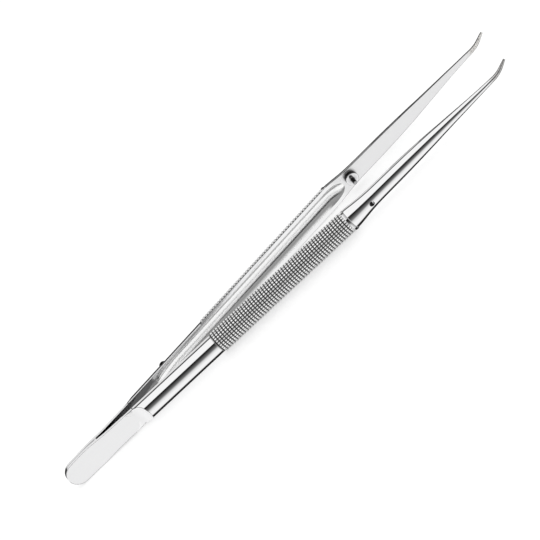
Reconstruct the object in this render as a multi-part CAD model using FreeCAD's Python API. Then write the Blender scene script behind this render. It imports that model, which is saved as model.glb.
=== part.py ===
"""Suture forceps: two half-round arms with knurled grips, welded at the tang, a guide pin and a side stud.

The forceps lies on its side, as it would on a table. +X runs from the tang to the tips, the arms open
along Y, and the tips bend towards +Z. Everything is drawn first with the rear end at x = 0 and the middle
line at z = 0. The arm on the +Y side carries the guide pin and the other one, its mirror image, has the
guide hole.
"""
import FreeCAD
import Part
import math
import os
from FreeCAD import Vector

os.makedirs("parts", exist_ok=True)

# Tang and spring plates. Distances along an arm start at the bend, where the two arms turn apart.
tang_width = 8.5
tang_end_width = 8.2
bend_place = 9.0
plate_thickness = 0.88
plate_edge_bevel = 0.12
weld_distance = 5.75
waist_start_distance = 2.7
waist_distance = 8.6
waist_width = 7.5
hinge_distance = 13.0
spread_angle = 3.84

# Half-round bar, and the cove where the milled flat runs out into it
bar_radius = 3.6
flat_end_distance = 19.05
cove_radius = 4.3

# Knurled grip
grip_start_distance = 51.95
grip_length = 53.8
tooth_pitch = 1.03
tooth_height = 0.4
tooth_rows = 15
collar_length = 1.0

# Channel milled into the inner face
channel_start_distance = 30.15
channel_front_overrun = 4.6
channel_width = 5.5
channel_depth = 2.2
channel_rear_runout = 9.7
channel_front_runout = 6.0

# Jaw, measured from the front of the grip along its inner face
jaw_length = 65.6
neck_length = 4.0
neck_heading_angle = 0.0
bow_length = 42.0
bow_heading_angle = 3.15
front_turn_length = 14.0
jaw_width = 6.0
jaw_thickness = 3.0
jaw_side_land = 0.25
bend_radius = 9.0
tip_angle = 26.0
tip_straight = 2.8

# Guide pin and its hole
guide_distance = 7.7
pin_collar_diameter = 4.1
pin_collar_height = 1.45
pilot_diameter = 1.4
pilot_length = 2.4
pilot_chamfer = 0.3
shank_diameter = 1.5
shank_length = 1.2
seat_clearance = 0.01
guide_hole_clearance = 0.15

# Side stud on the pin-side arm
stud_distance = 35.15
stud_angle = 55.0
stud_diameter = 2.2
stud_top_diameter = 1.3
stud_height = 0.55
stud_bevel_height = 0.3
stud_shank_diameter = 1.2
stud_shank_length = 1.0

grip_radius = bar_radius + tooth_height
grip_front = grip_start_distance + grip_length
spread = math.radians(spread_angle)
tip_turn = math.radians(tip_angle)

# Seen from above the jaw is a chain of arcs: the length of each arc and the heading at its end
jaw_arcs = [
    (neck_length, math.radians(neck_heading_angle)),
    (bow_length, math.radians(bow_heading_angle)),
    (front_turn_length, 0),
]

# The jaw at stations along it: share of its length, then of its width, its thickness and its side land.
# Where the shares of width and thickness are equal, the jaw is half-round.
jaw_stations = [
    (0.000, 2 * grip_radius / jaw_width, bar_radius / jaw_thickness, 0.40),
    (0.020, 1.290, 1.165, 0.50),
    (0.040, 1.233, 1.130, 0.60),
    (0.065, 1.158, 1.080, 0.80),
    (0.090, 1.090, 1.035, 1.00),
    (0.130, 1.015, 0.990, 1.00),
    (0.190, 0.970, 0.960, 1.00),
    (0.255, 0.947, 0.943, 1.00),
    (0.325, 0.917, 0.917, 1.00),
    (0.420, 0.840, 0.840, 1.00),
    (0.500, 0.753, 0.753, 1.00),
    (0.585, 0.630, 0.637, 1.00),
    (0.675, 0.507, 0.517, 1.00),
    (0.765, 0.387, 0.403, 1.00),
    (0.850, 0.293, 0.320, 0.90),
    (0.905, 0.250, 0.280, 0.80),
    (0.930, 0.230, 0.260, 0.70),
    (0.955, 0.200, 0.230, 0.60),
    (1.000, 0.120, 0.160, 0.50),
]


def to_arm(shape):
    """A shape drawn with x along the arm from the bend and y out from its inner face, put in its place."""
    moved = shape.copy()
    moved.rotate(Vector(), Vector(0, 0, 1), spread_angle)
    moved.translate(Vector(bend_place, 0, 0))
    return moved


def half_round(start, end, radius):
    """Half of a round bar, with its flat side on the inner face."""
    rod = Part.makeCylinder(radius, end - start, Vector(start, 0, 0), Vector(1, 0, 0))
    outer_side = Part.makeBox(end - start, 2 * radius, 4 * radius, Vector(start, 0, -2 * radius))
    return rod.common(outer_side)


def plate(outline):
    """A plate of the given outline on the inner face, its outer edge bevelled along its sides and end."""
    solid = Part.Face(outline).extrude(Vector(0, plate_thickness, 0))
    rim = [edge for edge in solid.Edges if edge.BoundBox.YMin > plate_thickness / 2]
    sides = [edge for edge in rim if edge.BoundBox.XLength > plate_edge_bevel]
    return solid.makeChamfer(min(plate_edge_bevel, 0.45 * plate_thickness), sides)


def tang_plate():
    """Welded part of one arm behind the bend: a round rear end and a slight flare."""
    end_radius = tang_end_width / 2
    half_width = tang_width / 2
    corners = [(end_radius, end_radius), (bend_place, half_width), (bend_place + tang_width, half_width)]
    upper = [Vector(x, 0, z) for x, z in corners]
    lower = [Vector(x, 0, -z) for x, z in reversed(corners)]
    path = upper + lower
    edges = [Part.makeLine(start, end) for start, end in zip(path[:-1], path[1:])]
    rear = Part.Arc(lower[-1], Vector(), upper[0]).toShape()
    return plate(Part.Wire([rear] + edges))


def spring_plate():
    """Thin part of one arm ahead of the bend, drawn in to a waist and then meeting the bar."""
    half_width = tang_width / 2
    bar_half_width = math.sqrt(bar_radius**2 - plate_thickness**2)
    end = flat_end_distance + cove_radius
    corners = [
        (-tang_width, half_width), (waist_start_distance, half_width), (waist_distance, waist_width / 2),
        (end, bar_half_width),
    ]
    path = [Vector(x, 0, z) for x, z in corners]
    path += [Vector(x, 0, -z) for x, z in reversed(corners)]
    return to_arm(plate(Part.makePolygon(path + path[:1])))


def bent_plates():
    """Tang plate and spring plate, mitred along the line where the plate bends."""
    reach = 4 * tang_width
    behind = Part.makeBox(reach, 2 * reach, 2 * reach, Vector(-reach, -reach, -reach))
    behind.rotate(Vector(), Vector(0, 0, 1), spread_angle / 2)
    behind.translate(Vector(bend_place, 0, 0))
    return tang_plate().common(behind).fuse(spring_plate().cut(behind))


def weld():
    """This arm's half of the weld metal, which fills the narrow wedge between the arms from the bend on."""
    end_x = bend_place + weld_distance * math.cos(spread)
    end_y = weld_distance * math.sin(spread)
    half_width = waist_width / 2
    outline = [(bend_place, 0), (end_x, 0), (end_x, end_y)]
    corners = [Vector(x, y, -half_width) for x, y in outline]
    return Part.Face(Part.makePolygon(corners + corners[:1])).extrude(Vector(0, 0, waist_width))


def bar():
    """Half-round bar behind the grip, with a flat milled down to the plate and ending in a cove."""
    start = flat_end_distance - cove_radius
    blank = half_round(start, grip_start_distance, bar_radius)
    above_plate = Part.makeBox(
        2 * cove_radius, 2 * cove_radius, 4 * bar_radius,
        Vector(flat_end_distance - 2 * cove_radius, plate_thickness, -2 * bar_radius),
    )
    cove_axis = Vector(flat_end_distance, plate_thickness + cove_radius, -2 * bar_radius)
    cove = Part.makeCylinder(cove_radius, 4 * bar_radius, cove_axis, Vector(0, 0, 1))
    return blank.cut(above_plate.fuse(cove))


def knurl():
    """Knurled half-round grip: a grid of square pyramids between ring grooves and lengthwise grooves.

    The two outermost rows rise to the edges of the inner face, which stay straight and full.
    """
    length = grip_length - collar_length
    rings = round(length / tooth_pitch)
    pitch = length / rings
    row_turn = math.pi / tooth_rows

    def corner(ring, row):
        turn = row * row_turn
        radius = grip_radius if row in (0, tooth_rows) else bar_radius
        return Vector(grip_start_distance + ring * pitch, radius * math.sin(turn), -radius * math.cos(turn))

    def peak(ring, row):
        turn = (row + 0.5) * row_turn
        x = grip_start_distance + (ring + 0.5) * pitch
        return Vector(x, grip_radius * math.sin(turn), -grip_radius * math.cos(turn))

    def facet(points):
        return Part.Face(Part.makePolygon(points + points[:1]))

    faces = []
    for ring in range(rings):
        for row in range(tooth_rows):
            around = ((ring, row), (ring + 1, row), (ring + 1, row + 1), (ring, row + 1))
            base = [corner(*place) for place in around]
            tip = peak(ring, row)
            faces += [facet([a, b, tip]) for a, b in zip(base, base[1:] + base[:1])]
    for ring in (0, rings):
        faces.append(facet([corner(ring, row) for row in range(tooth_rows + 1)]))
    lower_edge = [corner(ring, 0) for ring in range(rings + 1)]
    upper_edge = [corner(ring, tooth_rows) for ring in range(rings, -1, -1)]
    faces.append(facet(lower_edge + upper_edge))
    return Part.makeSolid(Part.makeShell(faces))


def jaw_from_above(run):
    """Point of the inner face's middle line after a run along the jaw's arcs, and its heading."""
    x = bend_place + grip_front * math.cos(spread)
    y = grip_front * math.sin(spread)
    heading = spread
    for length, end_heading in jaw_arcs:
        turned = min(run, length)
        curvature = (end_heading - heading) / length
        reached = heading + curvature * turned
        x += (math.sin(reached) - math.sin(heading)) / curvature
        y += (math.cos(heading) - math.cos(reached)) / curvature
        heading = reached
        run -= turned
    return x + run * math.cos(heading), y + run * math.sin(heading), heading


def jaw_place(distance):
    """Point on the inner face's middle line, with the directions along, out of and across the jaw there.

    Near the end the line turns up at bend_radius through tip_angle and runs straight to the tip.
    """
    bend_start = jaw_length - tip_straight - bend_radius * tip_turn
    bend = min(max((distance - bend_start) / bend_radius, 0), tip_turn)
    past_bend = max(distance - jaw_length + tip_straight, 0)
    forward = min(distance, bend_start) + bend_radius * math.sin(bend) + past_bend * math.cos(bend)
    rise = bend_radius * (1 - math.cos(bend)) + past_bend * math.sin(bend)
    x, y, heading = jaw_from_above(forward)
    out = Vector(-math.sin(heading), math.cos(heading), 0)
    flat_along = Vector(math.cos(heading), math.sin(heading), 0)
    along = flat_along * math.cos(bend) + Vector(0, 0, math.sin(bend))
    return Vector(x, y, rise), along, out, along.cross(out)


def jaw_section(share, width_share, thickness_share, land_share):
    """Section of the jaw: a flat inner face, two side lands and an arched back."""
    centre, along, out, across = jaw_place(share * jaw_length)
    half_width = width_share * jaw_width / 2
    crown = thickness_share * jaw_thickness
    land = land_share * jaw_side_land
    lower, upper = centre - across * half_width, centre + across * half_width
    lower_land, upper_land = lower + out * land, upper + out * land
    return Part.Wire([
        Part.makeLine(lower, upper),
        Part.makeLine(upper, upper_land),
        Part.Arc(upper_land, centre + out * crown, lower_land).toShape(),
        Part.makeLine(lower_land, lower),
    ])


def jaw():
    """Neck, tapering jaw and bent tip, ruled from each section to the next."""
    return Part.makeLoft([jaw_section(*station) for station in jaw_stations], True, True)


def channel():
    """Round-bottomed channel with a sloping run-out at each end, as the tool that cuts it."""
    radius = (channel_width**2 / 4 + channel_depth**2) / (2 * channel_depth)
    deep = channel_depth - radius
    start = channel_start_distance
    end = grip_front + channel_front_overrun
    rear_slope = channel_depth / channel_rear_runout
    front_slope = channel_depth / channel_front_runout
    path = Part.makePolygon([
        Vector(start - channel_rear_runout, deep - 2 * channel_depth, 0),
        Vector(start + channel_rear_runout, deep, 0),
        Vector(end - channel_front_runout, deep, 0),
        Vector(end + channel_front_runout, deep - 2 * channel_depth, 0),
    ])
    normal = Vector(2 * channel_rear_runout, 2 * channel_depth, 0)
    circle = Part.Wire(Part.makeCircle(radius, path.Vertexes[0].Point, normal))
    return to_arm(path.makePipeShell([circle], True, False, 1))


def blank_arm():
    """One whole arm with the channel cut, before it is divided at the spring and drilled."""
    collar = half_round(grip_front - collar_length, grip_front, grip_radius)
    pieces = [weld(), to_arm(bar()), to_arm(knurl()), to_arm(collar), jaw()]
    return bent_plates().multiFuse(pieces).cut(channel())


def divide(arm):
    """The arm's tang half and arm half, parted square across the middle of the spring plate."""
    reach = 2 * tang_width
    corner = Vector(hinge_distance - 2 * reach, -reach, -reach)
    behind = to_arm(Part.makeBox(2 * reach, 2 * reach, 2 * reach, corner))
    return arm.common(behind), arm.cut(behind)


def guide_pin():
    """Stepped pin: a shank in the arm, a wide collar on its inner face and a chamfered pilot."""
    centre, _, out, _ = jaw_place(guide_distance)
    shank = Part.makeCylinder(shank_diameter / 2, shank_length, centre, out)
    collar = Part.makeCylinder(pin_collar_diameter / 2, pin_collar_height, centre, -out)
    pilot = Part.makeCylinder(pilot_diameter / 2, pilot_length, centre - out * pin_collar_height, -out)
    end = centre - out * (pin_collar_height + pilot_length)
    circles = [edge for edge in pilot.Edges if edge.Closed]
    end_edges = [edge for edge in circles if (edge.CenterOfMass - end).Length < seat_clearance]
    return shank.fuse([collar, pilot.makeChamfer(pilot_chamfer, end_edges)]).removeSplitter()


def pin_seat():
    """Blind hole for the guide pin's shank, with the seat clearance all round."""
    centre, _, out, _ = jaw_place(guide_distance)
    radius = shank_diameter / 2 + seat_clearance
    start = centre - out * pin_collar_height
    return Part.makeCylinder(radius, pin_collar_height + shank_length + seat_clearance, start, out)


def guide_hole():
    """Hole right through the jaw, a little wider than the pilot that it takes."""
    centre, _, out, _ = jaw_place(guide_distance)
    radius = pilot_diameter / 2 + guide_hole_clearance
    return Part.makeCylinder(radius, 4 * jaw_thickness, centre - out * 2 * jaw_thickness, out)


def stud_frame():
    """Point where the stud sits on the round of the bar, and the direction straight out from there."""
    turn = math.radians(stud_angle)
    out = Vector(0, math.cos(turn), math.sin(turn))
    return Vector(stud_distance, 0, 0) + out * bar_radius, out


def side_stud():
    """Small button, its underside hollowed to the bar's round, on a shank that is pressed into the bar."""
    foot, out = stud_frame()
    radius = stud_diameter / 2
    sunk = bar_radius - math.sqrt(bar_radius**2 - radius**2)
    outline = [
        Vector(0, 0, -sunk), Vector(radius, 0, -sunk), Vector(radius, 0, stud_height - stud_bevel_height),
        Vector(stud_top_diameter / 2, 0, stud_height), Vector(0, 0, stud_height),
    ]
    head = Part.Face(Part.makePolygon(outline + outline[:1])).revolve(Vector(), Vector(0, 0, 1), 360)
    head.rotate(Vector(), Vector(1, 0, 0), stud_angle - 90)
    head.translate(foot)
    under_start = Vector(stud_distance - 2 * radius, 0, 0)
    under = Part.makeCylinder(bar_radius + seat_clearance, 4 * radius, under_start, Vector(1, 0, 0))
    shank_end = foot - out * stud_shank_length
    shank = Part.makeCylinder(stud_shank_diameter / 2, stud_shank_length + sunk, shank_end, out)
    return to_arm(head.cut(under).fuse(shank).removeSplitter())


def stud_seat():
    """Blind hole for the stud's shank, with the seat clearance all round."""
    foot, out = stud_frame()
    depth = stud_shank_length + seat_clearance
    radius = stud_shank_diameter / 2 + seat_clearance
    return to_arm(Part.makeCylinder(radius, 2 * depth, foot - out * depth, out))


def mirrored(shape):
    """The same shape on the other side of the middle plane."""
    return shape.mirror(Vector(), Vector(0, 1, 0))


def main():
    blank = blank_arm()
    pin_tang, pin_arm = divide(blank.cut(pin_seat().fuse(stud_seat())))
    hole_tang, hole_arm = divide(blank.cut(guide_hole()))
    nodes = {
        "pin_side_tang": pin_tang,
        "pin_side_arm": pin_arm,
        "hole_side_tang": mirrored(hole_tang),
        "hole_side_arm": mirrored(hole_arm),
        "guide_pin": guide_pin(),
        "side_stud": side_stud(),
    }
    tip_centre, along, _, across = jaw_place(jaw_length)
    length = tip_centre.x + abs(across.x) * jaw_stations[-1][1] * jaw_width / 2
    shift = Vector(-length / 2, 0, max(tang_width / 2, grip_radius))
    hinge = to_arm(Part.Vertex(hinge_distance, 0, 0)).Point + shift
    guide = jaw_place(guide_distance)[0] + shift
    print("length", round(length, 3), "hinge", hinge, "guide pin", guide, "tip", tip_centre + shift)
    for name, shape in nodes.items():
        shape.translate(shift)
        print(name, len(shape.Solids), shape.isValid(), round(shape.Volume, 2), shape.BoundBox)
        shape.exportStep(f"parts/{name}.step")


main()
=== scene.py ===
import math

import bmesh
import bpy
import numpy as np
from mathutils import Matrix, Vector


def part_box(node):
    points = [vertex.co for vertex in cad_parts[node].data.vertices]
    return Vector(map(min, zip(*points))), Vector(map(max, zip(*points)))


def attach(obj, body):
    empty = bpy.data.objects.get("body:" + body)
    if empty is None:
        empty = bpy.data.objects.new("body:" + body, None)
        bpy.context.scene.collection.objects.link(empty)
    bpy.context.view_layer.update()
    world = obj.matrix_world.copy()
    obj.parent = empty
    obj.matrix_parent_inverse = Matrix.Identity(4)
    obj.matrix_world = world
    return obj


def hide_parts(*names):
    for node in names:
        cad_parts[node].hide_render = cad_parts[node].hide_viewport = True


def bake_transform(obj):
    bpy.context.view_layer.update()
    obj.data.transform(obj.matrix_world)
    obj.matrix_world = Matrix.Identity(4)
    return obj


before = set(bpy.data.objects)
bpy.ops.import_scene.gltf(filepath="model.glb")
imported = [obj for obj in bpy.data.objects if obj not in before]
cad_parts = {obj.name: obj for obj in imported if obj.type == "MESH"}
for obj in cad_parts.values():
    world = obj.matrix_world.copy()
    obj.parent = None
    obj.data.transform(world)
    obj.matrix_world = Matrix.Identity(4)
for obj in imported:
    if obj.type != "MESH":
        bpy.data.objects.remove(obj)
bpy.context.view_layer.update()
print("CAD nodes:", ", ".join(sorted(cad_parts)))

# %% [markdown]
# Suture forceps are two long half-round arms of stainless steel, welded together at the flat rear end. They
# spring apart by themselves. Each arm is one forging, so each is one surface here: a closed outline that is
# carried along the arm and changes as it goes, from a flat plate to a half-round bar, a knurled grip, a
# tapering jaw and a bent tip.
#
# The first cell holds the sizes. Everything is in millimetres until a mesh is made, and places along the
# arm are measured from the rear end along its flat inner face.

# %% Sizes of the instrument
MM = 0.001
tang_low, tang_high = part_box("pin_side_tang")
arm_low, arm_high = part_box("pin_side_arm")
rear_x = tang_low.x / MM
axis_z = (arm_low.z + arm_high.z) / 2 / MM
plate_thickness = 0.88
plate_bend = 9.0
weld_end = plate_bend + 5.75
spread = math.radians(3.84)
end_radius = 4.1
tang_half_width = 4.25
waist_half_width = 3.75
bar_radius = 3.6
grip_radius = 4.0
flat_end = plate_bend + 19.05
cove_radius = 4.3
grip_start = plate_bend + 51.95
grip_end = plate_bend + 105.75
collar_length = 1.0
jaw_length = 65.6
jaw_arcs = [(4.0, 0.0), (42.0, math.radians(3.15)), (14.0, 0.0)]
bend_radius = 9.0
tip_angle = math.radians(26.0)
tip_straight = 2.8
tip_end = grip_end + jaw_length
print("rear end at x =", round(rear_x, 2), "mm, middle of the bar at z =", round(axis_z, 2), "mm")

# %% [markdown]
# The line that everything follows is the middle of the arm's flat inner face. It runs straight through the
# tang and leans outwards from the plate's bend to the front of the grip. There it turns straight ahead
# within a few millimetres, bows outwards along a long arc, turns straight ahead again, and bends up just
# before its end. For every place along it the function below gives a point and three directions, as whole
# arrays.

# %% The line down the middle of an arm's inner face
def spine(place):
    """Point and directions at each place along the inner face.

    Heading = 0 before the plate's bend and spread up to the grip's front. Past it the line follows
    jaw_arcs, each with a length and the heading at its end: x grows by (sin(end) - sin(start)) / curvature
    along each arc. Past the start of the tip's bend the line climbs along an arc of bend_radius, then
    straight at tip_angle.
    """
    place = np.asarray(place, float)
    beyond = place - grip_end
    bend_start = jaw_length - tip_straight - bend_radius * tip_angle
    bend = np.clip((beyond - bend_start) / bend_radius, 0, tip_angle)
    straight = np.maximum(beyond - jaw_length + tip_straight, 0)
    climb = bend_radius * (1 - np.cos(bend)) + straight * np.sin(bend)
    run = np.minimum(beyond, bend_start) + bend_radius * np.sin(bend) + straight * np.cos(bend)
    heading = np.where(place < plate_bend, 0.0, spread)
    on_arm = np.clip(place, plate_bend, grip_end) - plate_bend
    x = np.minimum(place, plate_bend) + on_arm * math.cos(spread)
    y = on_arm * math.sin(spread)
    arc_start, start_heading = 0.0, spread
    for length, end_heading in jaw_arcs:
        turned = np.clip(run - arc_start, 0, length)
        curvature = (end_heading - start_heading) / length
        reached = start_heading + curvature * turned
        x = x + (np.sin(reached) - math.sin(start_heading)) / curvature
        y = y + (math.cos(start_heading) - np.cos(reached)) / curvature
        heading = np.where(run > arc_start, reached, heading)
        arc_start, start_heading = arc_start + length, end_heading
    x = x + np.maximum(run - arc_start, 0)
    point = np.stack([x, y, climb], -1)
    flat_along = np.stack([np.cos(heading), np.sin(heading), 0 * heading], -1)
    out = np.stack([-np.sin(heading), np.cos(heading), 0 * heading], -1)
    up = np.zeros_like(out) + [0.0, 0.0, 1.0]
    along = flat_along * np.cos(bend)[..., None] + up * np.sin(bend)[..., None]
    across = up * np.cos(bend)[..., None] - flat_along * np.sin(bend)[..., None]
    return point, along, out, across


def in_frame(points, side):
    """Points of an arm in metres, in the shared frame; side is 1, or -1 for the mirror image."""
    return (points * [1, side, 1] + [rear_x, 0, axis_z]) * MM


print("tip at", np.round(spine(tip_end)[0], 2))

# %% [markdown]
# A forged jaw narrows and thins smoothly. Its width and thickness are known at a few stations, and a curve
# of cubic pieces is drawn through them. At each station the curve's slope is that of the parabola through
# the station and its two neighbours, which keeps the curve calm where the stations are unevenly spaced.

# %% A smooth curve through a few stations
def smooth_through(places, values, wanted):
    """Cubic Hermite curve through the stations, with their parabolas' slopes, at every wanted place."""
    slopes = np.gradient(values, places)
    wanted = np.clip(wanted, places[0], places[-1])
    i = np.clip(np.searchsorted(places, wanted, "right") - 1, 0, len(places) - 2)
    gap = places[i + 1] - places[i]
    t = (wanted - places[i]) / gap
    start, end = values[i], values[i + 1]
    return (
        (2 * t**3 - 3 * t**2 + 1) * start + (t**3 - 2 * t**2 + t) * gap * slopes[i]
        + (3 * t**2 - 2 * t**3) * end + (t**3 - t**2) * gap * slopes[i + 1]
    )


def smooth_step(low, high, value):
    """0 below low, 1 above high, and 3t^2 - 2t^3 between."""
    t = np.clip((value - low) / (high - low), 0, 1)
    return t * t * (3 - 2 * t)


# Each station of the jaw: its share of the jaw's length, half its width, and the height of its crown.
jaw_stations = [
    (0, 4.0, 3.6), (.02, 3.87, 3.495), (.04, 3.70, 3.39), (.065, 3.474, 3.24), (.09, 3.27, 3.105),
    (.13, 3.045, 2.97), (.19, 2.91, 2.88), (.255, 2.84, 2.83), (.325, 2.75, 2.75), (.42, 2.52, 2.52),
    (.5, 2.26, 2.26), (.585, 1.89, 1.91), (.675, 1.52, 1.55), (.765, 1.16, 1.21), (.85, .88, .96),
    (.905, .75, .84), (.93, .69, .78), (.955, .60, .69), (1, .36, .48),
]
jaw_shares, jaw_half_widths, jaw_crowns = np.array(jaw_stations).T
jaw_places = grip_end + jaw_length * jaw_shares
jaw_land = 0.25
print("stations of the jaw:", len(jaw_stations))

# %% [markdown]
# The outline of the arm at one place is drawn in polar form for its outer side: for each angle, how far the
# surface lies from the middle of the inner face. A plate, a half-round bar and an arched jaw are all simple
# in that form. The milled flat is the smaller of two radii, and the knurl adds the height of its teeth.

# %% Radius of the outer side at any angle
def plate_radius(angle, half_width, thickness, rounding):
    """Distance to a rectangle with rounded outer corners.

    Away from the corners it is min(half_width / cos, thickness / sin). Within a corner it is the far
    crossing of the ray with the corner's circle: c.u + sqrt(rounding^2 - |c|^2 + (c.u)^2).
    """
    cos, sin = np.abs(np.cos(angle)) + 1e-9, np.sin(angle) + 1e-9
    radius = np.minimum(half_width / cos, thickness / sin)
    centre_w, centre_n = half_width - rounding, thickness - rounding
    in_corner = (radius * cos > centre_w) & (radius * sin > centre_n)
    dot = centre_w * cos + centre_n * sin
    inside = np.maximum(rounding**2 - centre_w**2 - centre_n**2 + dot**2, 0)
    return np.where(in_corner, np.minimum(dot + np.sqrt(inside), radius), radius)


def arch_radius(angle, half_width, crown, land):
    """Distance to a D shape: upright side lands, then one arc from land to land over the crown."""
    arc = (half_width**2 + (crown - land) ** 2) / (2 * (crown - land))
    centre = crown - arc
    sin = np.sin(angle)
    on_arc = centre * sin + np.sqrt(np.maximum(arc**2 - centre**2 * np.cos(angle) ** 2, 0))
    return np.minimum(half_width / (np.abs(np.cos(angle)) + 1e-9), on_arc)


def cove_height(place):
    """Height of the milled surface: the plate's, then a quarter circle that climbs into the bar."""
    past = np.clip(place - flat_end, 0, cove_radius)
    return plate_thickness + cove_radius - np.sqrt(cove_radius**2 - past**2)


cove_run = math.sqrt(cove_radius**2 - (cove_radius + plate_thickness - bar_radius) ** 2)
print("the cove meets the bar's crown", round(cove_run, 2), "mm past the flat's end")

# %% [markdown]
# The knurl is a grid of square studs between ring grooves and lengthwise grooves. Both sets of grooves are
# V-shaped, and each stud keeps a small flat on top. Three points across each stud are enough for a crisp
# shape: one in the groove and one at each edge of the flat top.

# %% Teeth of the knurl
tooth_rows = 15
tooth_pitch_wanted = 1.03
knurl_length = grip_end - collar_length - grip_start
tooth_rings = round(knurl_length / tooth_pitch_wanted)
tooth_pitch = knurl_length / tooth_rings
tooth_flat = 0.44
tooth_flank = (1 - tooth_flat) / 2


def tooth_marks(count):
    """Positions 0, flank and 1 - flank within each tooth; its flat top lies between the last two."""
    return (np.arange(count)[:, None] + np.array([0, tooth_flank, 1 - tooth_flank])).ravel()


def tooth_height(place, angle):
    """Height over the groove, from 0 to 1: each tooth is a pyramid with its top cut off."""
    ring_place = (place - grip_start) / tooth_pitch
    row_place = angle / math.pi * tooth_rows
    from_groove = np.minimum(0.5 - np.abs(ring_place % 1 - 0.5), 0.5 - np.abs(row_place % 1 - 0.5))
    return np.clip(from_groove / tooth_flank, 0, 1)


print("knurl:", tooth_rings, "rings of", tooth_rows, "teeth on each arm, pitch", round(tooth_pitch, 3), "mm")

# %% [markdown]
# The channel along the inner face is cut with a round cutter, so its bottom is an arc. At each end the
# cutter comes up slowly and the channel fades to a point.

# %% Channel in the inner face
channel_start = plate_bend + 30.15
channel_end = grip_end + 4.6
channel_depth = 2.2
channel_width = 5.5
rear_runout = 9.7
front_runout = 6.0
runout_power = 1.6
channel_radius = (channel_width**2 / 4 + channel_depth**2) / (2 * channel_depth)


def channel_deepest(place):
    """Depth on the middle line: it grows over the rear run-out and fades over the front one."""
    rear = np.clip((place - channel_start) / rear_runout, 0, 1)
    front = np.clip((channel_end - place) / front_runout, 0, 1)
    return channel_depth * np.minimum(1 - (1 - rear) ** runout_power, 1 - (1 - front) ** runout_power)


def channel_mouth(place):
    """Half the width of the channel where it meets the inner face."""
    return np.sqrt(np.maximum(channel_radius**2 - (channel_radius - channel_deepest(place)) ** 2, 0))


def channel_height(place, w):
    """Depth at a distance w from the middle line: the cutter's circle, where it lies inside the steel."""
    deepest = channel_deepest(place)
    circle = deepest - channel_radius + np.sqrt(np.maximum(channel_radius**2 - w**2, 0))
    return np.maximum(circle, 0)


print("channel radius", round(channel_radius, 3), "mm")

# %% [markdown]
# Now the rows and their points are chosen. Rows crowd together where the shape changes quickly: at the
# channel's run-out, at each tooth, at the neck and at the bend. Where two rows lie a hair apart, the shape
# steps.
#
# On the bar the points of a row stand at the edges of the teeth. On the plate, which has a rectangle's
# outline, most of them go to the two rounded corners instead, so that the corners stay crisp.

# %% Rows along the arm and angles around it
outer_angles = np.concatenate([tooth_marks(tooth_rows), [tooth_rows]]) / tooth_rows * math.pi
outer_count = len(outer_angles)
corner_count = 4
land_shares = np.array([0, 0.06, 0.5])
channel_count = 27
edge_break = 0.13
plate_rounding = 0.15
plate_marks = np.array([0, 2, 11, 12])


def plate_angles(half_width, thickness, rounding):
    """Angles of each plate row, as many as the bar has.

    plate_marks says which points stand at the broken edge, at the start and the end of the outer corner,
    and just past it. The points between are spaced evenly, and the row's other half mirrors this one.
    """
    heights = [edge_break, thickness - rounding, thickness, thickness]
    insets = [0, 0, rounding, rounding + 0.12]
    near = np.stack([np.arctan2(height, half_width - inset) for height, inset in zip(heights, insets)], -1)
    stops = np.concatenate([near, math.pi - near[:, ::-1]], 1)
    marks = np.concatenate([plate_marks, outer_count - 1 - plate_marks[::-1]])
    return np.stack([np.interp(np.arange(outer_count), marks, row) for row in stops])


def row_places():
    """Places of the rows, from the middle of the round rear end to the tip, without the cove."""
    gap = 0.02
    runout_end = channel_start + rear_runout
    collar_start = grip_end - collar_length
    return np.concatenate([
        np.linspace(end_radius, plate_bend - 0.5, 6),
        np.linspace(plate_bend, weld_end, 8),
        np.linspace(weld_end + 0.15, flat_end - 2.5, 14),
        np.linspace(flat_end + cove_radius + 1.0, channel_start - 1.0, 8),
        np.linspace(channel_start, runout_end, 34),
        np.linspace(runout_end + 0.6, grip_start - gap, 18),
        grip_start + tooth_marks(tooth_rings) * tooth_pitch,
        [collar_start, collar_start + gap, grip_end - 0.12, grip_end - 0.03],
        np.linspace(grip_end, grip_end + 7, 36),
        np.linspace(grip_end + 7.5, tip_end - 9, 56),
        np.linspace(tip_end - 8.6, tip_end - 2.5, 24),
        np.linspace(tip_end - 2.2, tip_end - 0.12, 12),
    ])


places = row_places()
print(len(places), "rows before the cove and the round end are added")

# %% [markdown]
# The outline of every row is worked out at once. Each row is a closed loop: across the inner face with its
# channel, round a small broken edge, over the outer side, and round the other edge. Between the bend and
# the end of the weld, weld metal fills the narrow wedge between the arms, so the inner face stays on the
# middle plane there.

# %% Outline of every row
def half_width_at(place):
    """Half the width of the inner face along the arm."""
    flare = np.interp(
        place, [end_radius, plate_bend, plate_bend + 2.7, plate_bend + 8.6, flat_end],
        [end_radius, tang_half_width, tang_half_width, waist_half_width, bar_radius],
    )
    jaw = smooth_through(jaw_places, jaw_half_widths, place)
    return np.where(place < flat_end, flare, np.where(place < grip_end, bar_radius, jaw))


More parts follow.
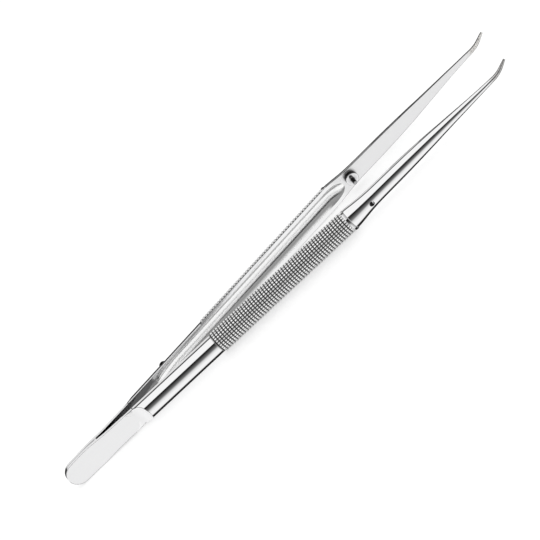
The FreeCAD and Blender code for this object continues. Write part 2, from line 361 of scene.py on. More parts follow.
def outer_radius(place, angle):
    """Distance from the inner face's middle line to the outer side, for every place and angle.

    The lowest and the highest half tooth are left whole, as a plain strip beside the inner face.
    """
    half_width = half_width_at(place)
    rounding = np.interp(place, [0, flat_end - 4, flat_end], [plate_rounding, plate_rounding, 0.06])
    plate = plate_radius(angle, half_width, plate_thickness, rounding)
    milled = np.minimum(bar_radius, cove_height(place) / (np.sin(angle) + 1e-9))
    bar = np.where(place < flat_end, plate, np.where(place < flat_end + cove_radius, milled, bar_radius))
    from_edge = np.minimum(angle, math.pi - angle) / math.pi * tooth_rows
    teeth = np.where(from_edge < 0.5, 1.0, tooth_height(place, angle))
    knurled = bar_radius + (grip_radius - bar_radius) * teeth
    crown = smooth_through(jaw_places, jaw_crowns, place)
    jaw = arch_radius(angle, half_width, crown, np.minimum(jaw_land, 0.3 * crown))
    collar = np.where(place > grip_end - 0.1, grip_radius - 0.08, grip_radius)
    radius = np.where(place < grip_start, bar, knurled)
    radius = np.where(place >= grip_end - collar_length + 0.01, collar, radius)
    return np.where(place >= grip_end - 0.01, jaw, radius)


def inner_side(row_place, foot, rounding, width):
    """Width-wise coordinates across the inner face: a land, the channel's mouth, and the other land."""
    mouth = channel_mouth(row_place)[:, None]
    mouth = np.minimum(np.maximum(mouth, 0.12 * width), foot - rounding - 0.05)
    cut_w = mouth * np.cos(np.linspace(math.pi, 0, channel_count))
    land_w = -(foot - rounding) + land_shares * (foot - rounding - mouth)
    return np.concatenate([land_w, cut_w, -land_w[:, ::-1]], 1)


def row_outlines(place):
    """Place, width-wise and outward coordinates of each row's loop, as three arrays of rows by points.

    place holds one value per row and outer angle, because the cove's rows are not square to the arm.
    """
    row_place = place[:, 0]
    on_plate = 1 - smooth_step(flat_end - 2.2, flat_end - 0.6, row_place)[:, None]
    plate = plate_angles(half_width_at(row_place), plate_thickness, plate_rounding)
    angles = on_plate * plate + (1 - on_plate) * outer_angles
    width = np.clip(half_width_at(row_place), 0.05, None)[:, None]
    past_weld = smooth_step(weld_end - 0.2, weld_end + 0.2, row_place)
    rounding = np.minimum(edge_break, 0.3 * width) * (0.1 + 0.9 * past_weld)[:, None]
    radius = outer_radius(place, angles)
    outer_w, outer_n = radius * np.cos(angles), radius * np.sin(angles)
    outer_n = outer_n + rounding * np.clip(1 - outer_n / (3 * rounding), 0, 1)
    foot = np.abs(outer_w[:, :1])
    turn = np.linspace(-math.pi / 2, 0, corner_count + 2)[1:-1]
    corner_w = foot - rounding + rounding * np.cos(turn)
    corner_n = rounding + rounding * np.sin(turn)
    inner_w = inner_side(row_place, foot, rounding, width)
    on_weld = (row_place > plate_bend) & (row_place <= weld_end)
    weld_fill = np.where(on_weld, (row_place - plate_bend) * math.tan(spread), 0)[:, None]
    inner_n = channel_height(row_place[:, None], inner_w) - weld_fill
    corner_n = corner_n - weld_fill
    w = np.concatenate([inner_w, corner_w, outer_w, -corner_w[:, ::-1]], 1)
    n = np.concatenate([inner_n, corner_n, outer_n, corner_n[:, ::-1]], 1)
    before = np.repeat(row_place[:, None], inner_w.shape[1] + corner_count, 1)
    along = np.concatenate([before, place, before[:, :corner_count]], 1)
    return along, w, n


inner_count = 2 * len(land_shares) + channel_count
loop_count = inner_count + 2 * corner_count + outer_count
print(loop_count, "points on each row:", inner_count, "on the inner face,", outer_count, "on the outer side")

# %% [markdown]
# The milled flat ends in a cove. Where the cove's surface reaches the round of the bar there is a crisp
# edge, and it lies further forward at the crown than at the sides. Rows that follow this edge are made by
# giving every angle its own run through the cove.

# %% Rows that follow the cove's edge
def cove_rows(before, after):
    """Places per row and angle: up the cove's arc to the edge, then on along the bar to a square row.

    The arc's angle at the edge is acos(1 - (bar_radius * sin(angle) - plate_thickness) / cove_radius).
    """
    climb = np.clip(bar_radius * np.sin(outer_angles) - plate_thickness, 0, None)
    arc_at_edge = np.arccos(1 - climb / cove_radius)
    share = np.linspace(0, 1, before)[:, None]
    up = flat_end + cove_radius * np.sin(arc_at_edge * share)
    up = np.maximum(up, flat_end + 0.6 * share)
    square = flat_end + cove_radius + 0.7
    on = np.concatenate([[0.03], np.linspace(0.15, 1, after - 1)])[:, None]
    past = up[-1] + (square - up[-1]) * on
    return np.concatenate([up, past])


rows_to_edge = 13
rows_past_edge = 7
square_rows = np.repeat(places[:, None], outer_count, 1)
split = np.searchsorted(places, flat_end)
curved_rows = cove_rows(rows_to_edge, rows_past_edge)
row_grid = np.concatenate([square_rows[:split], curved_rows, square_rows[split:]])
fan_rows = 22
fan_turn = np.linspace(0, math.pi / 2, fan_rows + 1)[:-1]
crest_row = fan_rows + split + rows_to_edge - 1
print(len(row_grid) + fan_rows, "rows in all, the cove's edge is row", crest_row)

# %% [markdown]
# The round rear end is the plate's own outline swung about the middle of the round, like the two halves of
# a fan, until both halves meet on the middle line. Merging the points that coincide there closes the end.

# %% Points of one arm
def arm_shape():
    """Points of the arm on the +y side in millimetres, as rows by loop points by 3.

    With them come each point's place along the arm, its w across the inner face and its n outwards from it.
    """
    place, w, n = row_outlines(row_grid)
    point, along, out, across = spine(place)
    points = point + out * n[..., None] + across * w[..., None]
    fan_x = end_radius - np.abs(w[0]) * np.cos(fan_turn)[:, None]
    fan_z = w[0] * np.sin(fan_turn)[:, None]
    fan = np.stack([fan_x, np.repeat(n[:1], fan_rows, 0), fan_z], -1)
    place, w, n = [np.concatenate([np.repeat(values[:1], fan_rows, 0), values]) for values in (place, w, n)]
    return np.concatenate([fan, points]), place, w, n


arm_points, point_place, point_w, point_n = arm_shape()
print("one arm:", arm_points.shape[0] * arm_points.shape[1], "points")

# %% [markdown]
# Each point also gets numbers from 0 to 1 for its finish: satin on the rear flats, the brushed inner face
# of the jaw, the channel, the knurl, and the dusted tip, which holds a fine needle better than polish
# would. The knurl's grooves get a painted shade of their own.
#
# One more number, painted shade, darkens the steel's colour where little light gets in. It also paints dark
# reflections: a band on the channel's lower wall, and thin dark lines along edges too fine for this surface
# to show them. Being painted, it stays in place whatever the light. The light alone could be left to do
# this, but a mirror-like surface hardly shows soft shadows.

# %% Finish and painted shade of each point
near_zero = 0.01
loop = np.arange(loop_count)
on_inner = (loop < inner_count)[None]
outer_end = loop_count - corner_count


def finish_numbers(place, w, n):
    """Numbers for the kinds of finish and painted shade at every point, found from its place, its w and its
    n.
    """
    row = np.arange(len(place))[:, None]
    row_place = place[:, :1]
    on_milled = (np.abs(n - cove_height(place)) < 0.004) & ~on_inner & (row < crest_row)
    off_edges = (np.abs(w) < half_width_at(row_place) - 0.10) | (row_place >= flat_end - 1.0)
    knurled = (place > grip_start - 0.3) & (place < grip_end - collar_length) & ~on_inner
    in_channel = on_inner & (n > near_zero) & (place > channel_start)
    near_tip = smooth_step(tip_end - 9.0, tip_end - 6.0, place)
    return {
        "satin": on_milled & off_edges,
        "jaw_face": smooth_step(grip_end + 0.5, grip_end + 4.0, place) * on_inner * (n < near_zero),
        "channel": in_channel,
        "knurled": knurled,
        # Painted shade in the knurl's grooves, deepest at the bottom of each groove.
        "groove_shade": knurled * (1 - tooth_height(place, np.arctan2(np.maximum(n, 0), w))),
        "dusted": near_tip * np.where(on_inner, 1.0, 0.7),
        # Painted shade and painted dark reflections.
        "painted_shade": painted_shade_number(place, w, n, row, in_channel, near_tip),
    }


def painted_shade_number(place, w, n, row, in_channel, near_tip):
    """How dark the painted shade is at each point: the darkest of several places.

    Painted shade lies in the wedge between the plates, along the tangs' seam, at the collar's edge and
    on the tip's outer side. Painted dark reflections run along the cove's edge, the lower rim of the rear
    flat, the jaw's edges and the rims of its inner face, and over the channel's lower wall up to its lit
    lip.
    """
    row_place = place[:, :1]
    # Painted shade between the plates, fading out where the channel opens the gap.
    fading = 1 - smooth_step(channel_start, channel_start + np.where(w > 0, 13, 2), place)
    between_plates = (on_inner & (place > weld_end - 0.05) & (n < near_zero)) * fading
    # Painted shade along the seam of the two tangs.
    seam = (place < weld_end) & ~on_inner & (n < 0.12)
    # A painted dark reflection on the row just past the cove's edge.
    cove_edge = (row == crest_row + 1) & ~on_inner
    # A painted dark reflection along the lower rim of the rear flat.
    low_corner = (loop >= outer_end - plate_marks[-1]) & (loop < outer_end)
    plate_rim = low_corner[None] * (1 - smooth_step(flat_end - 4.5, flat_end - 2.5, row_place))
    # Painted shade at the collar's front edge.
    collar_edge = (np.abs(place - grip_end + 0.08) < 0.07) & ~on_inner
    # Painted dark reflections along the jaw's edges, the upper band of its outer side and its inner face's
    # rims.
    on_jaw = place > grip_end + 0.5
    on_corner = ((loop >= inner_count) & (loop < inner_count + corner_count)) | (loop >= outer_end)
    edge_width = 0.15 + 0.22 * smooth_step(grip_end + 12, grip_end + 28, place)
    jaw_edge = (on_corner[None] | (~on_inner & (w > 0) & (n < edge_width))) & on_jaw
    inner_rim = ((loop == 0) | (loop == inner_count - 1))[None] & on_jaw
    # A painted dark reflection on the channel's lower wall, left out at its lip.
    share_down = -w / np.maximum(channel_mouth(row_place), 0.3)
    before_front = 1 - smooth_step(channel_end - 9, channel_end - 6, place)
    lit_lip = smooth_step(0.84, 0.98, share_down) * before_front
    low_wall = in_channel * smooth_step(0.48, 0.72, share_down) * (1 - lit_lip)
    # The tip's outer side gets a light painted shade as well.
    return np.maximum.reduce([
        0.5 * between_plates, 0.7 * seam, 0.9 * cove_edge, 0.5 * plate_rim, 0.6 * collar_edge,
        0.9 * jaw_edge, 0.45 * inner_rim, 0.70 * low_wall, 0.3 * near_tip * ~on_inner,
    ])


def rounded_tip(points, finishes, steps=5, length=0.12):
    """Adds rows that shrink like a quarter circle towards the middle of the last loop."""
    last = points[-1]
    middle = last.mean(0)
    _, along, _, _ = spine(tip_end)
    turn = np.linspace(0, math.pi / 2, steps + 1)[1:]
    shrink = np.maximum(np.cos(turn), 0.12)[:, None, None]
    extra = middle + (last - middle) * shrink + along * length * np.sin(turn)[:, None, None]
    grown = {name: np.concatenate([v, np.repeat(v[-1:], steps, 0)]) for name, v in finishes.items()}
    return np.concatenate([points, extra]), grown


arm_grid, arm_finishes = rounded_tip(arm_points, finish_numbers(point_place, point_w, point_n))
print("with the round tip the arm reaches", np.round(arm_grid.reshape(-1, 3).max(0), 2), "mm")

# %% [markdown]
# A grid of points becomes a mesh when each square of four neighbours gets a face. The last point of a loop
# joins its first, and one many-sided face closes the tip. The hole-side arm is the mirror image, so its
# faces are turned round to keep pointing outwards.

# %% Mesh from a grid of loops
def tube_faces(rows, columns):
    """Squares between neighbouring loops, as four point numbers each."""
    row, column = np.meshgrid(np.arange(rows - 1), np.arange(columns), indexing="ij")
    near, far, ahead = row * columns, (row + 1) * columns, (column + 1) % columns
    return np.stack([near + column, near + ahead, far + ahead, far + column], -1).reshape(-1, 4)


def mesh_with_numbers(name, points, faces, numbers):
    """Mesh from points in metres and faces, with one value per point for each named array."""
    mesh = bpy.data.meshes.new(name)
    mesh.from_pydata(points.tolist(), [], faces)
    for label, values in numbers.items():
        attribute = mesh.attributes.new(label, "FLOAT", "POINT")
        attribute.data.foreach_set("value", np.asarray(values, np.float32).ravel())
    return mesh


def forging_mesh(name, side):
    """Closed mesh of one arm; side is 1, or -1 for the mirror image in the middle plane."""
    rows, columns = arm_grid.shape[:2]
    quads = tube_faces(rows, columns)
    cap = (rows - 1) * columns + np.arange(columns)
    if side < 0:
        quads, cap = quads[:, ::-1], cap[::-1]
    points = in_frame(arm_grid.reshape(-1, 3), side)
    return mesh_with_numbers(name, points, quads.tolist() + [cap.tolist()], arm_finishes)


def outward_and_smooth(mesh, sharp_degrees):
    """Merges coinciding points, turns the faces outwards and keeps the edges of quick turns sharp."""
    work = bmesh.new()
    work.from_mesh(mesh)
    bmesh.ops.remove_doubles(work, verts=work.verts, dist=2e-7)
    bmesh.ops.dissolve_degenerate(work, edges=work.edges, dist=1e-7)
    bmesh.ops.recalc_face_normals(work, faces=work.faces)
    if work.calc_volume(signed=True) < 0:
        bmesh.ops.reverse_faces(work, faces=work.faces)
    open_edges = sum(1 for edge in work.edges if len(edge.link_faces) != 2)
    work.to_mesh(mesh)
    work.free()
    mesh.shade_smooth()
    mesh.set_sharp_from_angle(angle=math.radians(sharp_degrees))
    return open_edges


def add_object(name, mesh):
    """Links a mesh to the scene as an object at the origin."""
    thing = bpy.data.objects.new(name, mesh)
    bpy.context.scene.collection.objects.link(thing)
    return thing


forging_sharp = 24
arms = {}
for side_name, side in (("pin_side", 1), ("hole_side", -1)):
    arm_mesh = forging_mesh(side_name + "_forging", side)
    left_open = outward_and_smooth(arm_mesh, forging_sharp)
    arms[side_name] = add_object(side_name + "_forging", arm_mesh)
    print(side_name, len(arm_mesh.polygons), "faces,", left_open, "open edges")

# %% [markdown]
# The guide hole goes through the hole-side jaw just ahead of the grip. A drilled hole is a straight
# cylinder, and the Boolean modifier takes it out of the forging exactly. It is applied at once, so that the
# mesh is final. The rear side of the hole's wall gets a painted shade of its own, because little light gets
# in.

# %% Guide hole
guide_place = grip_end + 7.7
hole_radius = 0.85


def standing(foot, direction):
    """Matrix that stands a part on foot, with its z axis along direction."""
    return Matrix.Translation(foot) @ direction.to_track_quat("Z", "Y").to_matrix().to_4x4()


def guide_line(side):
    """Middle of the inner face at the guide pin, in metres, and the direction out of that arm."""
    point, _, out, _ = spine(guide_place)
    return Vector(in_frame(point, side).tolist()), Vector((out * [1, side, 1]).tolist())


def drill(thing, foot, direction, radius, reach):
    """Cuts a straight round hole through a closed mesh."""
    cutter_mesh = bpy.data.meshes.new("drill")
    work = bmesh.new()
    bmesh.ops.create_cone(
        work, cap_ends=True, segments=48, radius1=radius, radius2=radius, depth=2 * reach,
        matrix=standing(foot, direction),
    )
    work.to_mesh(cutter_mesh)
    work.free()
    cutter = add_object("drill", cutter_mesh)
    cut = thing.modifiers.new("hole", "BOOLEAN")
    cut.operation = "DIFFERENCE"
    cut.solver = "EXACT"
    cut.object = cutter
    final = bpy.data.meshes.new_from_object(thing.evaluated_get(bpy.context.evaluated_depsgraph_get()))
    thing.modifiers.clear()
    thing.data = final
    bpy.data.objects.remove(cutter)
    return final


def mark_bore(mesh, foot, axis, radius):
    """Paints shade on the rear side of the hole's wall: its faces get the number 1, and all others 0."""
    centre, normal = np.empty((2, len(mesh.polygons) * 3))
    mesh.polygons.foreach_get("center", centre)
    mesh.polygons.foreach_get("normal", normal)
    reach = centre.reshape(-1, 3) - foot
    from_axis = np.linalg.norm(reach - np.outer(reach @ axis, axis), axis=1)
    on_wall = (np.abs(from_axis - radius) < 0.01 * MM) & (np.abs(normal.reshape(-1, 3) @ axis) < 0.1)
    bore_shade = on_wall & (reach[:, 0] < 0.2 * radius)
    mesh.attributes.new("bore_shade", "FLOAT", "FACE").data.foreach_set("value", bore_shade.astype(np.float32))
    return bore_shade.sum()


hole_foot, hole_out = guide_line(-1)
drilled = drill(arms["hole_side"], hole_foot, hole_out, hole_radius * MM, 6 * MM)
drilled.shade_smooth()
drilled.set_sharp_from_angle(angle=math.radians(forging_sharp))
bore_faces = mark_bore(drilled, np.array(hole_foot), np.array(hole_out), hole_radius * MM)
print("guide hole drilled,", len(drilled.polygons), "faces left,", bore_faces, "of them in the hole's shade")

# %% [markdown]
# The guide pin and the side stud are turned parts. A turned part is a profile spun about its axis, so one
# short list of rings gives the whole shape, and small steps in it give the broken edges that a lathe
# leaves. Each ring has a radius, a height and a painted shade that darkens its colour.

# %% Turned parts
def turned(name, profile, foot, direction, segments=64):
    """Closed surface of revolution: each (radius, height, painted shade) becomes a ring about the direction.
    """
    radius, height, painted_shade = np.array(profile, float).T[..., None]
    turn = np.linspace(0, 2 * math.pi, segments, endpoint=False)
    ring = np.stack([radius * np.cos(turn), radius * np.sin(turn), np.repeat(height, segments, 1)], -1) * MM
    place = np.array(standing(foot, direction))
    points = ring.reshape(-1, 3) @ place[:3, :3].T + place[:3, 3]
    around = np.arange(segments)
    caps = [around[::-1].tolist(), ((len(profile) - 1) * segments + around).tolist()]
    faces = tube_faces(len(profile), segments).tolist() + caps
    mesh = mesh_with_numbers(name, points, faces, {"painted_shade": np.repeat(painted_shade, segments, 1)})
    outward_and_smooth(mesh, 30)
    return add_object(name, mesh)


def arc_rings(centre_radius, centre_height, rounding, start, end, count, painted_shade=0.0):
    """Rings along an arc of a profile, from one angle to the other in degrees, all with one painted shade.
    """
    turn = np.radians(np.linspace(start, end, count))
    radius = centre_radius + rounding * np.cos(turn)
    height = centre_height + rounding * np.sin(turn)
    return [(r, h, painted_shade) for r, h in zip(radius, height)]


# %% [markdown]
# The guide pin is pressed into the pin-side arm. Its wide collar sits on the inner face and carries a thin
# pilot, whose nose is a little slimmer than its foot, so that it clears the hole's wall as the arm swings
# in.

# %% Guide pin
shank_radius = 0.75
shank_length = 1.1
# Collar and stud reach this far into the steel, so that no gap shows under them.
seat = 0.02
pin_collar_radius = 2.05
pin_collar_height = 1.45
collar_rounding = 0.22
pilot_radius = 0.70
pilot_nose = 0.64
pilot_rounding = 0.34
pilot_height = pin_collar_height + 2.4
collar_arc = (pin_collar_radius - collar_rounding, pin_collar_height - collar_rounding, collar_rounding)
pilot_arc = (pilot_nose - pilot_rounding, pilot_height - pilot_rounding, pilot_rounding)
# Painted shade: the collar's side and the pilot's side are dark, the pilot's nose half dark, the collar's
# top bright.
pin_profile = (
    [(shank_radius, -shank_length, 0.0), (shank_radius, -seat, 0.0)]
    + [(pin_collar_radius - 0.05, -seat, 1.0), (pin_collar_radius, 0.03, 1.0)]
    + arc_rings(*collar_arc, 0, 30, 3, painted_shade=1.0)
    + arc_rings(*collar_arc, 50, 90, 4)
    + [(pilot_radius + 0.12, pin_collar_height, 0.3), (pilot_radius, pin_collar_height + 0.10, 1.0)]
    + arc_rings(*pilot_arc, 0, 30, 3, painted_shade=1.0)
    + arc_rings(*pilot_arc, 50, 80, 3, painted_shade=0.5)
)
pin_foot, pin_out = guide_line(1)
pin = turned("guide_pin_turned", pin_profile, pin_foot, -pin_out)
print("guide pin stands", round(pilot_height, 2), "mm out of the inner face")

# %% [markdown]
# The side stud stands on the outer side of the same arm, behind the grip. Only its dome shows, which is the
# cap of a sphere: its radius follows from the stud's own radius and the height of the dome.

# %% Side stud
stud_angle = math.radians(55.0)
stud_radius = 1.1
stud_dome = 0.55
stud_depth = 0.5
stud_place = plate_bend + 35.15
stud_point, _, stud_out, stud_across = spine(stud_place)
stud_direction = stud_out * math.cos(stud_angle) + stud_across * math.sin(stud_angle)
stud_foot = Vector(in_frame(stud_point + stud_direction * bar_radius, 1).tolist())
dome_radius = (stud_radius**2 + stud_dome**2) / (2 * stud_dome)
dome_half_turn = math.degrees(math.asin(stud_radius / dome_radius))
dome = arc_rings(0, stud_dome - dome_radius, dome_radius, 90 - dome_half_turn, 88, 9)
# Painted shade: the stud's side and the outer rings of its dome are dark, its middle bright.
dark_rings = 5
stud_profile = (
    [(stud_radius, -stud_depth, 0.9), (stud_radius, -seat, 0.9)]
    + [(radius, height, 1.0) for radius, height, _ in dome[:dark_rings]]
    + dome[dark_rings:]
)
stud = turned("side_stud_turned", stud_profile, stud_foot, Vector(stud_direction.tolist()), 40)
print("side stud dome radius", round(dome_radius, 2), "mm")

# %% [markdown]
# Steel shows its finish more than its colour. Five finishes share one steel here: bright polish on the bars
# and the jaws' outer sides, a duller polish in the channel, a satin brushed finish on the rear flats and
# the jaws' inner faces, the cut teeth of the knurl, and the sandy dusting at the tips. Two small node
# groups make the patterns: fine marks drawn out along the arm, and a fine even grain. They are groups
# because each finish uses them with other numbers. A small class keeps the joining of nodes short.

# %% Node groups for marks and grain
class NodeTree:
    """Short ways to add and join the nodes of one tree."""

    def __init__(self, tree):
        self.nodes = tree.nodes
        self.links = tree.links

    def feed(self, socket, value):
        """Joins an output to a socket, or sets a plain value on it."""
        if isinstance(value, bpy.types.NodeSocket):
            self.links.new(value, socket)
        else:
            socket.default_value = value

    def math(self, operation, *values):
        node = self.nodes.new("ShaderNodeMath")
        node.operation = operation
        for socket, value in zip(node.inputs, values):
            self.feed(socket, value)
        return node.outputs[0]

    def between(self, value, low, high):
        """0 at low and below, 1 at high and above, and even steps between."""
        node = self.nodes.new("ShaderNodeMapRange")
        node.inputs["From Min"].default_value = low
        node.inputs["From Max"].default_value = high
        self.feed(node.inputs["Value"], value)
        return node.outputs["Result"]

    def mix(self, factor, low, high, colour=False):
        """Blend of two numbers, colours or outputs by a factor output."""
        node = self.nodes.new("ShaderNodeMix")
        node.data_type = "RGBA" if colour else "FLOAT"
        first, second, result = (6, 7, 2) if colour else (2, 3, 0)
        self.feed(node.inputs[0], factor)
        self.feed(node.inputs[first], low)
        self.feed(node.inputs[second], high)
        return node.outputs[result]


def noise_group(name, output, stretch, detail, scale):
    """Group whose output is its Strength times noise on Object coordinates, drawn out along x by stretch."""
    group = bpy.data.node_groups.new(name, "ShaderNodeTree")
    for label, value in (("Scale", scale), ("Strength", 1.0)):
        socket = group.interface.new_socket(name=label, in_out="INPUT", socket_type="NodeSocketFloat")
        socket.default_value = value
    group.interface.new_socket(name=output, in_out="OUTPUT", socket_type="NodeSocketFloat")
    tree = NodeTree(group)
    given = tree.nodes.new("NodeGroupInput")
    result = tree.nodes.new("NodeGroupOutput")
    coordinates = tree.nodes.new("ShaderNodeTexCoord")
    mapping = tree.nodes.new("ShaderNodeMapping")
    mapping.inputs["Scale"].default_value = (1 / stretch, 1, 1)
    noise = tree.nodes.new("ShaderNodeTexNoise")
    noise.inputs["Detail"].default_value = detail
    tree.feed(mapping.inputs["Vector"], coordinates.outputs["Object"])
    tree.feed(noise.inputs["Vector"], mapping.outputs["Vector"])
    tree.feed(noise.inputs["Scale"], given.outputs["Scale"])
    tree.feed(result.inputs[output], tree.math("MULTIPLY", noise.outputs["Fac"], given.outputs["Strength"]))
    return group


drawn_out_marks = noise_group("drawn_out_marks", "Marks", 28, 3, 900.0)
even_grain = noise_group("even_grain", "Grain", 1, 2, 3000.0)
print("node groups:", drawn_out_marks.name, even_grain.name)

# %% [markdown]
# The steel picks its finish point by point. Polish marks only change how sharp a reflection is, because
# real ones are too shallow to tilt the surface. Brush marks and the dusting also raise it a little. The
# knurl is less metallic than the rest: its cut teeth are dull and stay pale from every side, as teeth do
# that face all ways. Painted shade turns the colour dark: the arm's painted shade, and that of the knurl's
# grooves and of the bore.

# %% Steel for the arms
def grey(level):
    """Opaque colour with equal red, green and blue."""
    return (level, level, level, 1)


POLISHED = (0.92, 0.92, 0.925, 1)
SATIN = (0.95, 0.95, 0.955, 1)
JAW_FACE = (0.90, 0.90, 0.905, 1)
WHITE_STEEL = grey(1.0)
TURNED = (0.86, 0.86, 0.87, 1)
SAND_LIGHT = (0.90, 0.88, 0.85, 1)
SAND_DARK = (0.10, 0.10, 0.09, 1)
# Black, towards which the painted shade turns the colour.
UNLIT = grey(0.0)


class Steel(NodeTree):
    """A metal material: its Principled BSDF, and the nodes that feed it."""

    def __init__(self, name):
        self.material = bpy.data.materials.new(name)
        self.material.use_nodes = True
        super().__init__(self.material.node_tree)
        self.principled = self.nodes["Principled BSDF"]
        self.principled.inputs["Metallic"].default_value = 1.0

    def attribute(self, name):
        node = self.nodes.new("ShaderNodeAttribute")
        node.attribute_name = name
        return node.outputs["Fac"]

    def pattern(self, group, scale, strength):
        node = self.nodes.new("ShaderNodeGroup")
        node.node_tree = group
        node.inputs["Scale"].default_value = scale
        node.inputs["Strength"].default_value = strength
        return node.outputs[0]

    def bump(self, height, strength, distance):
        node = self.nodes.new("ShaderNodeBump")
        node.inputs["Strength"].default_value = strength
        node.inputs["Distance"].default_value = distance
        self.feed(node.inputs["Height"], height)
        self.feed(self.principled.inputs["Normal"], node.outputs["Normal"])

    def surface(self, socket, value):
        self.feed(self.principled.inputs[socket], value)


def arm_colour(steel, sand):
    """Base colour: the finish's own steel, speckled where it is dusted, and dark where shade is painted."""
    knurled, channel = steel.attribute("knurled"), steel.attribute("channel")
    speckle = steel.math("MULTIPLY", steel.math("SUBTRACT", sand, 0.37), 9.0)
    speckle = steel.math("MINIMUM", steel.math("MAXIMUM", speckle, 0.0), 1.0)
    sand_colour = steel.mix(speckle, SAND_DARK, SAND_LIGHT, colour=True)
    colour = steel.mix(steel.attribute("satin"), POLISHED, SATIN, colour=True)
    colour = steel.mix(steel.attribute("jaw_face"), colour, JAW_FACE, colour=True)
    colour = steel.mix(steel.math("MAXIMUM", knurled, channel), colour, WHITE_STEEL, colour=True)
    colour = steel.mix(steel.attribute("dusted"), colour, sand_colour, colour=True)
    # Painted shade in the knurl's grooves, turned towards black like the rest.
    in_groove = steel.math("MINIMUM", steel.math("MULTIPLY", steel.attribute("groove_shade"), 1.3), 0.98)
    # The painted shade and the bore's painted shade.
    shaded = steel.math("MAXIMUM", steel.attribute("painted_shade"), steel.attribute("bore_shade"))
    unlit = steel.math("MAXIMUM", shaded, in_groove)
    return steel.mix(unlit, colour, UNLIT, colour=True)


def arm_steel():
    """One steel, with its finish chosen point by point from the arm's own attributes."""
    steel = Steel("arm_steel")
    knurled, dusted = steel.attribute("knurled"), steel.attribute("dusted")
    brushed = steel.math("MAXIMUM", steel.attribute("satin"), steel.attribute("jaw_face"))
    sand = steel.pattern(even_grain, 4600.0, 1.0)
    polish_marks = steel.pattern(drawn_out_marks, 700.0, 0.04)
    brush_marks = steel.pattern(drawn_out_marks, 2600.0, 0.14)
    rough = steel.mix(brushed, steel.math("ADD", polish_marks, 0.03), steel.math("ADD", brush_marks, 0.30))
    rough = steel.mix(steel.attribute("channel"), rough, 0.22)
    rough = steel.mix(knurled, rough, 0.28)
    rough = steel.mix(dusted, rough, 0.4)
    height = steel.mix(brushed, 0.5, brush_marks)
    height = steel.mix(dusted, height, sand)
    steel.surface("Base Color", arm_colour(steel, sand))
    steel.surface("Metallic", steel.mix(knurled, 1.0, 0.4))
    steel.surface("Roughness", rough)
    steel.bump(height, 0.35, 0.00002)
    return steel.material


def turned_steel():
    """Bright turned steel of the guide pin and the stud, dark where shade is painted on it."""
    steel = Steel("pin_steel")
    marks = steel.pattern(even_grain, 2500.0, 0.10)
    steel.surface("Base Color", steel.mix(steel.attribute("painted_shade"), TURNED, UNLIT, colour=True))
    steel.surface("Roughness", steel.math("ADD", marks, 0.08))
    steel.bump(marks, 0.2, 0.00001)
    return steel.material


def give(thing, material):
    """Makes the material the only one of a piece."""
    thing.data.materials.clear()
    thing.data.materials.append(material)


steel_of_arms, steel_of_pins = arm_steel(), turned_steel()
for forging in arms.values():
    give(forging, steel_of_arms)
for turned_part in (pin, stud):
    give(turned_part, steel_of_pins)
print("materials:", steel_of_arms.name, "and", steel_of_pins.name)

# %% [markdown]
# In the model the spring is one hinge between two bodies, but the real plate bends over its whole length.
# Here each forging takes the place of its tang and arm, which are hidden, and is not given to a body. The
# pin and the stud are fixed in the pin-side arm and simply ride on it.


for side_name, side, body in (("pin_side", 1, "pin_arm"), ("hole_side", -1, "hole_arm")):
    forging = arms[side_name]
    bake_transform(forging)
    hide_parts(side_name + "_tang", side_name + "_arm")
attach(pin, "pin_arm")
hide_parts("guide_pin")
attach(stud, "pin_arm")
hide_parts("side_stud")

# %% [markdown]
# Polished steel has no look of its own: it shows the room. Product photographers stand dark boards in a
# white room, so that a round bar gets a dark stripe and a dark outline. The world does the same here, for
# mirror-like reflections only. It is a list of angles round the instrument's long axis, with how bright the
# room is at each: 0 degrees is the horizon at the front, 90 is overhead, 180 is the horizon at the back,
# and below the table angles are negative.
#
# Reflections of reflections, and those of the room's far left and right, are plain white. So is the light
# that falls on the dull floor, and what the camera sees past it.

# %% World
room_by_angle = [
    # Dark from the horizon at the back down to straight below, then white below the front.
    (-180, 0.04), (-80, 0.02), (-74, 0.95), (-40, 1.0),
    # A soft board at the front, darker and darker up to its crisp upper edge.
    (-16, 0.80), (-8, 0.56), (-2, 0.30), (8, 0.15), (20, 0.07), (32, 0.02), (42, 0.005),
    # White overhead, and a thin board just behind it.
    (45, 1.0), (104, 1.0), (107, 0.04), (117, 0.04),
    # Pale behind that board, and dark again near the horizon at the back.
    (121, 0.82), (141, 0.85), (158, 0.70), (163, 0.06), (180, 0.04),
]
white = grey(1.0)
side_edges = (0.60, 0.66)
# A first reflection has Ray Depth 2, and later ones have 3 or more.
past_first_reflection = 2.5


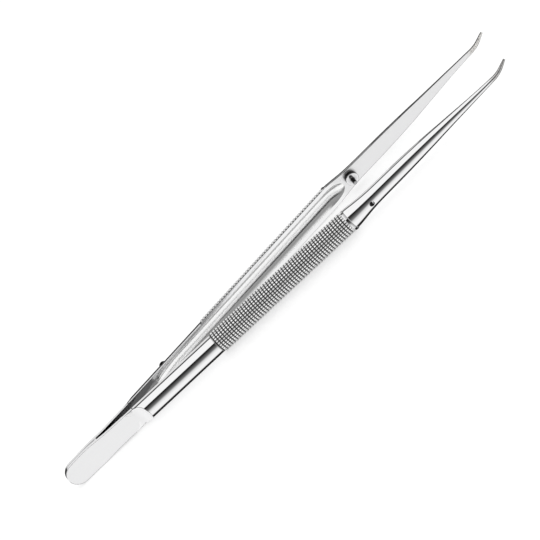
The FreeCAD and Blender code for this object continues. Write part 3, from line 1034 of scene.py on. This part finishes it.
def studio_world():
    """Mirror-like reflections read the room at their angle atan2(z, -y), and all else sees white."""
    world = bpy.data.worlds.new("studio")
    bpy.context.scene.world = world
    world.use_nodes = True
    tree = NodeTree(world.node_tree)
    tree.nodes.clear()
    coordinates = tree.nodes.new("ShaderNodeTexCoord")
    direction = tree.nodes.new("ShaderNodeSeparateXYZ")
    tree.feed(direction.inputs[0], coordinates.outputs["Generated"])
    angle = tree.math("ARCTAN2", direction.outputs["Z"], tree.math("MULTIPLY", direction.outputs["Y"], -1))
    ramp = tree.nodes.new("ShaderNodeValToRGB")
    tree.feed(ramp.inputs["Fac"], tree.between(angle, -math.pi, math.pi))
    elements = ramp.color_ramp.elements
    for degrees, level in room_by_angle[1:-1]:
        elements.new((degrees + 180) / 360).color = grey(level)
    for end in (0, -1):
        elements[end].color = grey(room_by_angle[end][1])
    path = tree.nodes.new("ShaderNodeLightPath")
    at_sides = tree.between(tree.math("ABSOLUTE", direction.outputs["X"]), *side_edges)
    later = tree.math("GREATER_THAN", path.outputs["Ray Depth"], past_first_reflection)
    room = tree.mix(tree.math("MAXIMUM", at_sides, later), ramp.outputs["Color"], white, colour=True)
    seen = tree.nodes.new("ShaderNodeMixShader")
    tree.feed(seen.inputs[0], path.outputs["Is Glossy Ray"])
    for socket, colour in ((seen.inputs[1], white), (seen.inputs[2], room)):
        background = tree.nodes.new("ShaderNodeBackground")
        tree.feed(background.inputs["Color"], colour)
        tree.feed(socket, background.outputs[0])
    output = tree.nodes.new("ShaderNodeOutputWorld")
    tree.feed(output.inputs["Surface"], seen.outputs[0])


studio_world()
print("world: white, but in reflections", len(room_by_angle), "brightnesses round the instrument")

# %% [markdown]
# The floor is a large pale sheet. It reflects part of the light and glows evenly with the rest, so that it
# reads as the white of a product photograph and still shows the soft shadow of the instrument. The steel's
# reflections look past it into the room, whose dark lower back gives the bars their dark lower outline.

# %% Floor
floor_reach = 3.0
floor_corners = [(-1, -1), (1, -1), (1, 1), (-1, 1)]
floor_mesh = bpy.data.meshes.new("floor")
floor_mesh.from_pydata([(x * floor_reach, y * floor_reach, 0) for x, y in floor_corners], [], [(0, 1, 2, 3)])
floor = add_object("floor", floor_mesh)
floor_paint = bpy.data.materials.new("floor_paint")
floor_paint.use_nodes = True
floor_node = floor_paint.node_tree.nodes["Principled BSDF"]
floor_node.inputs["Base Color"].default_value = grey(0.55)
floor_node.inputs["Roughness"].default_value = 0.9
floor_node.inputs["Specular IOR Level"].default_value = 0.0
floor_node.inputs["Emission Color"].default_value = white
floor_node.inputs["Emission Strength"].default_value = 0.53
floor_mesh.materials.append(floor_paint)
floor.visible_glossy = False
print("floor laid at z = 0")

# %% [markdown]
# The photograph was taken from far off with a long lens: both ends of the instrument show at the same
# scale. The camera stands in front of the hole-side arm, about a third of the way up, and is rolled so that
# the instrument runs from the lower left corner to the upper right. A camera looks along its own -z, so it
# is turned on the spot and then moved back along its z.

# %% Camera
camera_azimuth = math.radians(6.7)
camera_elevation = math.radians(34.86)
camera_roll = math.radians(-49.06)
camera_distance = 2.5
camera_field = math.radians(3.645)
camera_target = Vector((-3.74, 3.08, 4.25)) * MM
camera_turn = (
    Matrix.Rotation(camera_azimuth, 4, "Z")
    @ Matrix.Rotation(math.pi / 2 - camera_elevation, 4, "X")
    @ Matrix.Rotation(camera_roll, 4, "Z")
)
camera_data = bpy.data.cameras.new("camera")
camera_data.angle = camera_field
camera = bpy.data.objects.new("camera", camera_data)
camera.matrix_world = (
    Matrix.Translation(camera_target) @ camera_turn @ Matrix.Translation((0, 0, camera_distance))
)
bpy.context.scene.collection.objects.link(camera)
bpy.context.scene.camera = camera
bpy.context.scene.view_settings.view_transform = "Standard"
print("camera lens", round(camera_data.lens, 1), "mm")
